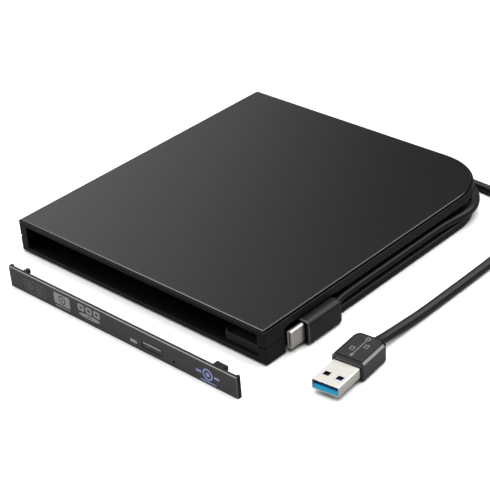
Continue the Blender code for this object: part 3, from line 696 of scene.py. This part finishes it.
def case_outline(left, front, right, back):
    """The case seen from above, inset on each side, with its one round corner."""
    radius = CORNER_RADIUS - right
    centre = (RIGHT - right - radius, BACK - back - radius)
    return ([(LEFT + left, FRONT + front), (RIGHT - right, FRONT + front)]
            + arc(centre, radius, 0, 90) + [(LEFT + left, BACK - back)])


def groove_outline():
    outside, inside = CORNER_RADIUS + 3, CORNER_RADIUS - GROOVE_DEPTH
    return ([(RIGHT + 3, POCKET_BACK - 1)] + arc(CORNER_AT, outside, 0, 90)
            + [(EXIT_RIGHT - 1, BACK + 3), (EXIT_RIGHT - 1, BACK - GROOVE_DEPTH)]
            + arc(CORNER_AT, inside, 90, 0) + [(RIGHT - GROOVE_DEPTH, POCKET_BACK - 1)])


def hollows(low, high):
    """What is cut from a shell: bay, mouth, lead groove, exit bay, inner chamber, plug pocket."""
    floor_z, roof_z = max(low, BAY_FLOOR), min(high, BAY_ROOF)
    bay = case_outline(POST, MOUTH_DEPTH - 1, BAY_INSET_RIGHT, BAY_INSET_BACK)
    return [prism("bay", bay, floor_z, roof_z),
            block("mouth", (LEFT + POST, FRONT - 2, floor_z),
                  (RIGHT - POST, FRONT + MOUTH_DEPTH, roof_z)),
            prism("groove", groove_outline(), max(low, GROOVE_LOW), min(high, GROOVE_HIGH)),
            block("exit_bay", (EXIT_LEFT, BACK - EXIT_INSET, floor_z),
                  (EXIT_RIGHT, BACK + 2, roof_z)),
            block("chamber", (LEFT + 12, BACK - BAY_INSET_BACK - 2, floor_z),
                  (EXIT_LEFT + 0.5, BACK - 2.2, roof_z)),
            block("pocket", (RIGHT - POCKET_DEPTH, POCKET_FRONT, max(low, UNDERSIDE - 1)),
                  (RIGHT + 2, POCKET_BACK, min(high, POCKET_TOP)))]


def on_outside(point, margin=0.2):
    """Whether a point lies on the case's outer wall, seen from above."""
    across = Vector((point.x - CORNER_AT[0], point.y - CORNER_AT[1]))
    if across.x > 0 and across.y > 0:
        return across.length > CORNER_RADIUS - margin
    return (point.x > RIGHT - margin or point.x < LEFT + margin or point.y > BACK - margin
            or point.y < FRONT + margin)


def shell_share(point, along):
    """Soft outer corners, softer lips where the lead groove opens, crisp edges inside."""
    if abs(along.z) > 0.9:
        return 0.55 if on_outside(point) else 0.25
    if not on_outside(point):
        return 0.2
    near_groove = point.x > 0 and (point.x > RIGHT - 1 or point.y > BACK - 30)
    if near_groove and abs(point.z - GROOVE_HIGH) < 0.1:
        return 1.0
    if near_groove and abs(point.z - GROOVE_LOW) < LEDGE_CHAMFER + 0.1:
        return 0.0
    if abs(point.z - SEAM) < SEAM_GAP + 0.05:
        return 0.4
    if point.z < UNDERSIDE + 0.1:
        return 0.9
    if point.z > RIM_TOP - 0.1:
        return 0.2
    return 0.3


def on_ledge(point, along):
    return (on_outside(point) and abs(point.z - GROOVE_LOW) < 0.05 and abs(along.z) < 0.1
            and point.y > POCKET_BACK - 1 and point.x > EXIT_RIGHT - 1)


def lower_case():
    top = SEAM - SEAM_GAP
    made = prism("lower_case", case_outline(0, 0, 0, 0), UNDERSIDE, top)
    carve(made, hollows(UNDERSIDE - 2, SEAM + 1))
    posts = [bar(f"boss_{i}", x, y, BAY_FLOOR - 1, top, BOSS_RADIUS)
             for i, (x, y) in enumerate(SCREWS[2:])]
    posts += [bar(f"post_{i}", x, y, BAY_FLOOR - 1, POST_TOP, POST_RADIUS)
              for i, (x, y) in enumerate(BOARD_SCREWS)]
    carve(made, posts, "UNION")
    cuts = [bar(f"post_hole_{i}", x, y, BAY_FLOOR, SEAM, BOARD_HOLE)
            for i, (x, y) in enumerate(BOARD_SCREWS)]
    for i, (x, y) in enumerate(SCREWS):
        cuts.append(bar(f"hole_{i}", x, y, 0, SEAM + 1, SCREW_HOLE))
        cuts.append(bar(f"head_room_{i}", x, y, 0, UNDERSIDE + 1.5, HEAD_HOLE))
    for i, (x, y) in enumerate(FEET):
        cuts.append(bar(f"recess_{i}", x, y, 0, UNDERSIDE + 0.7, FOOT_HOLE, sides=40))
    count, pitch, width = VENTS
    cuts += [block(f"vent_{i}", (-30, 8 + pitch * i, 0),
                   (30, 8 + width + pitch * i, UNDERSIDE + 0.6)) for i in range(count)]
    carve(made, cuts)
    chamfer(made, LEDGE_CHAMFER, on_ledge)
    rounded(made, 0.8, shell_share)
    dress(made, "shell_plastic", "shell_plastic", "lower_shell")


def upper_case():
    low = SEAM + SEAM_GAP
    made = prism("upper_case", case_outline(0, 0, 0, 0), low, RIM_TOP)
    carve(made, [prism("recess", case_outline(0.5, 0.5, 0.5, 0.5), DECK, RIM_TOP + 1)])
    near, far, depth = GAP_CHANNEL
    channel = ([(RIGHT - near, FRONT + 3)] + arc(CORNER_AT, CORNER_RADIUS - near, 0, 90)
               + arc(CORNER_AT, CORNER_RADIUS - far, 90, 0) + [(RIGHT - far, FRONT + 3)])
    carve(made, [prism("channel", channel, depth, RIM_TOP + 1)])
    carve(made, hollows(SEAM - 1, PLATE_TOP))
    carve(made, [bar(f"boss_{i}", x, y, low, BAY_ROOF + 0.5, BOSS_RADIUS)
                 for i, (x, y) in enumerate(SCREWS[2:])], "UNION")
    carve(made, [bar(f"socket_{i}", x, y, SEAM - 1, 12.2, SCREW_HOLE)
                 for i, (x, y) in enumerate(SCREWS)])
    rounded(made, 0.8, shell_share)
    dress(made, "shell_plastic", "shell_plastic", "upper_shell")


def cover_plate():
    """The satin cover, with a fine polished chamfer round its top."""
    made = prism("cover_plate", case_outline(0.8, 0.8, 1.3, 0.8), PLATE_TOP - 0.5, PLATE_TOP)
    backing = prism("backing", case_outline(1.1, 1.1, 2.6, 1.1), PLATE_LOW, PLATE_TOP - 0.3)
    carve(made, [backing], "UNION")

    def share(point, along):
        return 1.0 if point.z > PLATE_TOP - 0.1 else 0.4

    rounded(made, 0.30, share, segments=1, crisp=30)
    dress(made, "plate_metal", "plate_metal", "top_plate")


def bay_step():
    """The hollow step under the drive's thinner right side, with the lip that guides the drive."""
    right = RIGHT - BAY_INSET_RIGHT - GAP
    left = right - 14.7
    front = FRONT + 1.6
    back = front + 121.0
    behind_mouth = FRONT + MOUTH_DEPTH - GAP
    mouth_right = RIGHT - POST - GAP
    outline = [(left, front), (mouth_right, front), (mouth_right, behind_mouth),
               (right, behind_mouth), (right, back), (left, back)]
    wall = 1.4
    made = prism("bay_step", outline, BAY_FLOOR + GAP, STEP_TOP)
    lip = block("lip", (left, front + 0.6, STEP_TOP - 1), (left + 0.9, back, STEP_LIP))
    carve(made, [lip], "UNION")
    carve(made, [block("hollow", (left + wall, front + wall, 0),
                       (right - wall, back - wall, STEP_TOP - wall))])
    rounded(made, 0.25)
    dress(made, "step_plastic", "shell_plastic", "drive_step")


# --- USB-C plug --------------------------------------------------------------------------------

def c_grip():
    """The plug's overmould, standing on edge, with a soft outer shoulder and a recessed front."""
    x, z = C_AT
    half_w, half_h = C_GRIP[0] / 2, C_GRIP[2] / 2
    front, back = C_GRIP_FRONT, C_GRIP_FRONT + C_GRIP[1]
    made = block("usb_c_grip", (x - half_w, front, z - half_h), (x + half_w, back, z + half_h))
    recess = centred(x, z, half_w - 0.9, half_h - 0.9, 1.4)

    def share(point, along):
        if abs(along.y) > 0.9:
            return 1.0 if point.x > x and point.z > z else 0.5
        if point.y > back - 0.2:
            return 0.75
        return 0.35

    rounded(made, 2.0, share, segments=6)
    carve(made, [prism("recess", recess, -front - 0.35, -front + 1, UPRIGHT)])
    smoothed(made, 35)
    dress(made, "plug_rubber", "plug_rubber", "usb_c_overmould", body="usb_c_plug")
    # the sloping faces round the front rim take a lighter material: a painted highlight along the
    # rim
    also_look(made, "plug_edge_painted_highlight",
              lambda at, normal: at.y < front + 0.7 and -0.93 < normal.y < -0.2)


def c_tip():
    """The drawn steel shell, rolled inwards round its mouth."""
    x, z = C_AT
    half_w, half_h = C_TIP[0] / 2, C_TIP[2] / 2
    back = C_GRIP_FRONT - GAP
    front = back - C_TIP[1]
    outline = centred(x, z, half_w, half_h, 1.2, 8)
    mouth = centred(x, z, *C_MOUTH, 0.33)
    inside = centred(x, z, half_w - 0.3, half_h - 0.3, 0.9)
    made = prism("usb_c_tip", outline, -back, -front, UPRIGHT)
    carve(made, [prism("inside", inside, -back + 0.9, -front - 0.6, UPRIGHT),
                 prism("mouth", mouth, -front - 1, -front + 1, UPRIGHT)])

    def share(point, along):
        outer = abs(point.x - x) > 0.6 or abs(point.z - z) > 3.6
        return 1.0 if point.y < front + 0.1 and outer else 0.3

    rounded(made, 0.28, share, segments=4)
    dress(made, "tip_steel", "plug_steel", "usb_c_shell", body="usb_c_plug")
    # the front faces of the steel shell are painted bright cream: a painted highlight on the nose
    also_look(made, "nose_steel_painted_highlight",
              lambda at, normal: at.y < front + 0.3 and normal.y < -0.35)


def c_tongue():
    """The plug's insulator with its two rows of contacts, one on each side of the slot."""
    x, z = C_AT
    tip = C_GRIP_FRONT - GAP - C_TIP[1]
    half_w, half_h = C_TIP[0] / 2 - 0.45, C_TIP[2] / 2 - 0.45
    made = block("usb_c_core", (x - half_w, tip + 0.7, z - half_h),
                 (x + half_w, C_GRIP_FRONT - 1.6, z + half_h))
    carve(made, [block("slot", (x - 0.38, tip - 1, z - 3.2), (x + 0.38, tip + 4.8, z + 3.2))])
    rounded(made, 0.08, segments=2)
    dress(made, "chip_black", "chip_black", "usb_c_insulator", body="usb_c_plug")
    bm = bmesh.new()
    count, pitch = C_CONTACTS
    for face in (x - 0.39, x + 0.39):
        for i in range(count):
            at = z + (i - (count - 1) / 2) * pitch
            bm_box(bm, (face - 0.05, tip + 1.1, at - 0.11), (face + 0.05, tip + 4.6, at + 0.11))
    contacts = from_bmesh("usb_c_contacts", bm)
    dress(contacts, "contact_gold", "contact_gold", body="usb_c_plug")


def bm_box(bm, low, high, turn=None):
    """Add a box to a bmesh."""
    verts = [bm.verts.new((x, y, z)) for x in (low[0], high[0]) for y in (low[1], high[1])
             for z in (low[2], high[2])]
    for a, b, c, d in ((0, 1, 3, 2), (4, 6, 7, 5), (0, 4, 5, 1), (2, 3, 7, 6), (0, 2, 6, 4),
                       (1, 5, 7, 3)):
        bm.faces.new((verts[a], verts[b], verts[c], verts[d]))
    if turn is not None:
        bmesh.ops.transform(bm, matrix=turn, verts=verts)


# --- USB-A plug --------------------------------------------------------------------------------

def grip_outline(half_w, front, back, front_radius, back_radius):
    """The overmould seen from above, with its larger radii at the lead's end."""
    x, y = half_w - front_radius, front + front_radius
    far_x, far_y = half_w - back_radius, back - back_radius
    return (arc((x, y), front_radius, -90, 0, 4) + arc((far_x, far_y), back_radius, 0, 90, 10)
            + arc((-far_x, far_y), back_radius, 90, 180, 10)
            + arc((-x, y), front_radius, 180, 270, 4))


def a_grip():
    """The overmould: a glossy body with rounded rear corners and a matt pad on each face."""
    half_w, half_h = A_GRIP[0] / 2, A_GRIP[2] / 2
    front = A_TIP[1] + GAP
    back = front + A_GRIP[1]
    made = prism("usb_a_grip", grip_outline(half_w, front, back, 0.8, 3.2),
                 -half_h + 0.12, half_h - 0.12)

    def share(point, along):
        return 0.0 if abs(along.z) > 0.9 else 1.0

    chamfer(made, 0.85,
            lambda point, along: abs(point.z) > half_h - 0.2 and abs(along.z) < 0.1)
    rounded(made, 0.2, share, angle=60)
    dress(at_plug(made), "plug_gloss", "plug_rubber", "usb_a_overmould")
    for side, name in ((1, "usb_a_pad_top"), (-1, "usb_a_pad_bottom")):
        inset = 1.35
        pad = grip_outline(half_w - inset, front + 1.5, back - inset, 0.3, 2.2)
        levels = sorted((side * (half_h - 0.6), side * half_h))
        piece = prism(name, pad, *levels)
        rounded(piece, 0.2, segments=2, angle=60)
        dress(at_plug(piece), "plug_rubber", "plug_rubber")


def a_pictogram():
    """A plain pictogram on the upper pad: a line with a ring, an arrow and two bars."""
    top = A_GRIP[2] / 2
    shapes = [round_rectangle(-0.22, 18.0, 0.22, 28.2, 0.2),
              circle(0, 29.2, 1.1), circle(0, 29.2, 0.55),
              [(-0.95, 18.2), (0.95, 18.2), (0, 16.4)]]
    for x, y in ((-2.1, 21.4), (2.1, 24.8)):
        shapes += [centred(x, y, 0.9, 1.2, 0.3), centred(x, y, 0.5, 0.8, 0.2)]
    turn = A_FRAME @ Matrix.Translation((0, 0, (top - 0.01) * MM))
    made = printed("usb_a_mark", shapes, turn)
    dress(made, "print_soft", "plug_rubber")


def at_plug(piece):
    """Move a piece drawn in the USB-A plug's own frame to where the plug lies."""
    piece.data.transform(A_FRAME)
    return piece


def a_shell():
    """The folded steel shell, with its four latch windows and the seam along its underside."""
    half_w, length, half_h = A_TIP[0] / 2, A_TIP[1], A_TIP[2] / 2
    made = prism("usb_a_housing", centred(0, 0, half_w, half_h, 0.55), -length, 0, UPRIGHT)
    inside = centred(0, 0, half_w - A_WALL, half_h - A_WALL, 0.3)
    cuts = [prism("inside", inside, -length + 0.8, 1, UPRIGHT),
            block("seam", (-0.06, -1, -half_h - 1), (0.06, length - 1, -half_h + 0.2))]
    for i, x in enumerate((-2.9, 2.9)):
        cuts.append(prism(f"window_{i}", centred(x, 5.55, 1.35, 1.25, 0.3),
                          -half_h - 1, half_h + 1))
    carve(made, cuts)
    rounded(made, 0.09, segments=2, crisp=18)
    dress(at_plug(made), "plug_steel", "plug_steel", "usb_a_shell")


def a_core():
    """The blue insulator, and on it the tray that holds the flat contacts, coloured a darker navy
    as painted shade inside the plug's mouth.
    """
    length, low = A_TIP[1], -A_TIP[2] / 2 + A_WALL + 0.05
    made = block("usb_a_core", (-5.55, 0.25, low), (5.55, length - 1.2, -0.12))
    rounded(made, 0.12, segments=2)
    dress(at_plug(made), "blue_plastic", "blue_plastic", "usb_a_insulator")
    tray = block("usb_a_tray", (-5.5, 0.95, -0.2), (5.5, length - 1.3, 0.45))
    carve(tray, [block(f"channel_{i}", (x - 0.52, 0, 0.25), (x + 0.52, 8.5, 1))
                 for i, x in enumerate(A_FLAT_X)])
    rounded(tray, 0.08, segments=2)
    # the tray is coloured darker navy: painted shade inside the plug's mouth
    dress(at_plug(tray), "blue_plastic_painted_shade", "blue_plastic")


def a_contacts():
    """Four flat contacts in their channels and five sprung ones behind them."""
    for i, x in enumerate(A_FLAT_X):
        made = block(f"flat_contact_{i + 1}", (x - 0.5, 1.35, 0.28), (x + 0.5, 8.45, 0.52))
        rounded(made, 0.06, segments=2)
        dress(at_plug(made), "contact_gold", "contact_gold", f"usb_a_contact_{i + 1}")
    bowed = [(9.2, 0.5), (9.7, 0.78), (10.2, 0.88), (10.7, 0.8), (11.6, 0.45)]
    strip = [(-0.3, 0), (0.3, 0), (0.3, -0.1), (-0.3, -0.1)]
    for i, x in enumerate(A_SPRUNG_X):
        bm = bmesh.new()
        skin(bm, [[bm.verts.new((x + dx, y, z + dz)) for dx, dz in strip] for y, z in bowed])
        made = from_bmesh(f"sprung_contact_{i + 1}", bm)
        dress(at_plug(made), "contact_gold", "contact_gold", f"usb_a_fast_contact_{i + 1}")


# --- bezel -------------------------------------------------------------------------------------

def bezel_front():
    """The drive's front panel, with turned-back ends, two clips and its three openings."""
    behind = BEZEL_FRONT + BEZEL_PLATE
    inside = BEZEL_FRONT + 0.5
    made = block("bezel_front", (BEZEL_LEFT, BEZEL_FRONT, 0), (BEZEL_RIGHT, behind, BEZEL_HEIGHT))
    added = []
    for side, x in (("left", BEZEL_LEFT), ("right", BEZEL_RIGHT - 1.3)):
        added.append(block(f"{side}_return", (x, inside, 0),
                           (x + 1.3, BEZEL_FRONT + BEZEL_DEPTH, BEZEL_HEIGHT)))
    for side, start, end in (("left", BEZEL_LEFT + 7.4, BEZEL_LEFT + 9.2),
                             ("right", BEZEL_RIGHT - 13.6, BEZEL_RIGHT - 8.0)):
        added.append(block(f"{side}_clip", (start, inside, BEZEL_HEIGHT - 2.4),
                           (end, BEZEL_FRONT + 4.3, BEZEL_HEIGHT - 0.4)))
    carve(made, added, "UNION")
    cuts = []
    for name, (x, z, half_w, half_h) in (("lamp", LAMP), ("button", BUTTON)):
        cuts.append(block(f"{name}_hole", (x - half_w - GAP, BEZEL_FRONT - 1, z - half_h - GAP),
                          (x + half_w + GAP, behind + 1.5, z + half_h + GAP)))
    x, z, radius = PINHOLE
    cuts.append(turned("pinhole", [(radius, -1), (radius, 4)], (x, BEZEL_FRONT, z),
                       UPRIGHT.inverted(), 20))
    carve(made, cuts)

    def outer(point):
        return (point.z < 0.1 or point.z > BEZEL_HEIGHT - 0.1 or point.x < BEZEL_LEFT + 0.1
                or point.x > BEZEL_RIGHT - 0.1)

    def share(point, along):
        if point.y > BEZEL_FRONT + 0.4:
            return 0.5
        return 0.0 if outer(point) else 0.25

    chamfer(made, 0.3, lambda point, along: point.y < BEZEL_FRONT + 0.1 and outer(point))
    rounded(made, 0.3, share)
    dress(made, "shell_plastic", "bezel_plastic", "bezel_panel", body="bezel")
    also_look(made, "bezel_plastic",
              lambda at, normal: at.y < BEZEL_FRONT + 0.4 and normal.y < -0.4)
    # the front chamfer faces take a lighter grey: a painted highlight along the edges
    also_look(made, "bezel_edge_painted_highlight",
              lambda at, normal: at.y < BEZEL_FRONT + 0.4 and -0.9 < normal.y < -0.4)


def eject_key():
    x, z, half_w, half_h = BUTTON
    half_w, half_h = half_w - 0.12, half_h - 0.12
    made = block("eject_key", (x - half_w, BEZEL_FRONT - 0.15, z - half_h),
                 (x + half_w, BEZEL_FRONT + BEZEL_PLATE + 0.5, z + half_h))
    chamfer(made, 0.34, lambda point, along: point.y < BEZEL_FRONT and abs(along.y) < 0.1)
    rounded(made, 0.1, segments=2, angle=60)
    dress(made, "bezel_plastic", "bezel_plastic", "eject_button", body="eject_button")
    # the key's front chamfer faces take a lighter grey: a painted highlight round the key
    also_look(made, "bezel_edge_painted_highlight",
              lambda at, normal: at.y < BEZEL_FRONT + 0.3 and -0.9 < normal.y < -0.4)


def lamp_lens():
    x, z, half_w, half_h = LAMP
    made = block("lamp_lens", (x - half_w, BEZEL_FRONT + 0.02, z - half_h),
                 (x + half_w, BEZEL_FRONT + BEZEL_PLATE + 0.3, z + half_h))
    rounded(made, 0.25)
    dress(made, "clear_plastic", "clear_plastic", "lamp_window", body="bezel")


def bezel_marks():
    """Plain disc pictograms in the places where the drive's front is printed."""
    card = [round_rectangle(-43.9, 1.6, -31.0, 7.6, 1.0),
            round_rectangle(-43.4, 2.1, -31.5, 7.1, 0.7),
            circle(-40.4, 4.6, 1.9), circle(-40.4, 4.6, 0.7)]
    card += [round_rectangle(-37.2, z, -32.6, z + 0.7, 0.3) for z in (2.9, 4.25, 5.6)]
    label = [round_rectangle(-25.4, 2.9, -15.8, 8.2, 0.7), circle(-20.6, 5.55, 2.1),
             circle(-20.6, 5.55, 1.5), circle(-20.6, 5.55, 0.6),
             round_rectangle(-25.0, 1.7, -16.2, 2.1, 0.15)]
    disc = [circle(-4.4, 3.6, 6.2, 1.0), circle(-4.4, 3.6, 1.7, 0.3)]
    for x in (-10.8, -6.2, -1.6):
        disc += [round_rectangle(x, 5.2, x + 3.6, 8.3, 0.6),
                 round_rectangle(x + 1.0, 6.1, x + 2.6, 7.4, 0.3)]
    rings = [circle(61.0, 4.7, 2.6), circle(61.0, 4.7, 1.9), circle(61.0, 4.7, 1.0),
             round_rectangle(54.9, 4.2, 57.7, 5.2, 0.45),
             round_rectangle(64.3, 4.2, 67.1, 5.2, 0.45),
             round_rectangle(57.0, 1.1, 65.2, 1.6, 0.2)]
    turn = Matrix.Translation((0, (BEZEL_FRONT - 0.01) * MM, 0)) @ UPRIGHT
    for i, (shapes, ink) in enumerate(((card, "faint"), (label, "grey"), (disc, "grey"),
                                       (rings, "lavender"))):
        dress(printed(f"bezel_mark_{i + 1}", shapes, turn), "print_" + ink, "bezel_plastic",
              body="bezel")


# --- inside and underneath ---------------------------------------------------------------------

def lead_block():
    """The moulded block, held between the shells, that both leads come out of."""
    made = block("lead_block", (EXIT_LEFT + GAP, BACK - EXIT_INSET + GAP, BAY_FLOOR + GAP),
                 (EXIT_C[0], BACK - GAP, BAY_ROOF - GAP))
    rounded(made, 0.5)
    dress(made, "plug_rubber", "plug_rubber", "lead_exit_block")


def feet():
    for i, (x, y) in enumerate(FEET):
        profile = [(3.4, 0), (3.7, 0.08), (3.9, 0.25), (4.0, 0.5), (4.0, 0.9)]
        made = turned(f"rubber_foot_{i + 1}", profile, (x, y, 0), sides=40)
        smoothed(made, 50)
        dress(made, "foot_rubber", "foot_rubber", f"foot_{i + 1}")


def bridge_chip():
    """The controller: a moulded body with twelve gull-wing legs on each side."""
    low, high = (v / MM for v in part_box("bridge_chip"))
    inset = 0.9
    made = block("controller_body", (low.x + inset, low.y + inset, low.z + 0.1),
                 (high.x - inset, high.y - inset, high.z))
    dot = turned("dot", [(0.35, -0.08), (0.35, 1)], (low.x + 1.9, low.y + 1.9, high.z), sides=20)
    carve(made, [dot])
    rounded(made, 0.12, segments=2, angle=60)
    dress(made, "chip_black", "chip_black", "bridge_chip")
    bm = bmesh.new()
    middle = (low + high) / 2
    half = (high.x - low.x) / 2
    count, pitch = LEGS
    bends = [(half - 0.45, -0.28, half, -0.1), (half - 0.45, -0.2, half - 0.3, 0.5),
             (half - inset - 0.1, 0.4, half - 0.35, 0.52)]      # foot, shin and shoulder
    for quarter in range(4):
        turn = (Matrix.Translation((middle.x, middle.y, 0))
                @ Matrix.Rotation(quarter * math.pi / 2, 4, "Z"))
        for i in range(count):
            x = (i - (count - 1) / 2) * pitch
            for y0, z0, y1, z1 in bends:
                bm_box(bm, (x - 0.1, y0, low.z + z0), (x + 0.1, y1, low.z + z1), turn)
    legs = from_bmesh("controller_legs", bm)
    dress(legs, "solder_tin", "solder_tin")


def repaint():
    """Better materials on the CAD nodes whose shape stays as it is."""
    looks = {"chip_black": ["sata_socket", "power_coil", "voltage_regulator"],
             "contact_gold": ["sata_data_tongue", "sata_power_tongue"],
             "solder_tin": ["crystal", "board_screw_1", "board_screw_2"],
             "lead_jacket": ["usb_c_inner_lead", "usb_a_inner_lead"],
             "nylon": ["usb_c_board_socket", "usb_a_board_socket",
                       "capacitor_1", "capacitor_2", "capacitor_3"],
             "screw_steel": [f"case_screw_{i}" for i in (1, 2, 3, 4)]}
    wanted = {name: look(key) for key, names in looks.items() for name in names}
    wanted["bridge_board"] = board_green()
    for name, material in wanted.items():
        for place in frame["nodes"][name].material_slots:
            place.link = "OBJECT"
            place.material = material


# --- everything --------------------------------------------------------------------------------

scene.view_settings.view_transform = "Standard"
camera()

a_points = a_lead_points()
a_cord = tube("usb_a_cord", a_points, A_LEAD_RADIUS)
dress(a_cord, "lead_jacket", "lead_jacket", "usb_a_lead")
c_points = c_lead_points()
c_cord = tube("usb_c_cord", c_points, C_LEAD_RADIUS)
c_cord.data.materials.append(look("lead_jacket"))
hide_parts("usb_c_lead", "usb_c_lead_end")
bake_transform(c_cord)

strain_relief()
lower_case()
upper_case()
cover_plate()
bay_step()
lead_block()
c_grip()
c_tip()
c_tongue()
a_grip()
a_pictogram()
a_shell()
a_core()
a_contacts()
bezel_front()
eject_key()
lamp_lens()
bezel_marks()
feet()
bridge_chip()
repaint()

[v * MM for v in a_points[0]]
round(route_length(a_points), 3)

floor()
world()
light("top_softbox", (0.15, 0.45, 2.2), (2.6, 3.0), 88)
light("back_softbox", (1.25, 1.6, 1.3), (1.1, 0.8), 12)
light("front_softbox", (-1.5, -1.3, 1.5), (0.6, 0.5), 9)
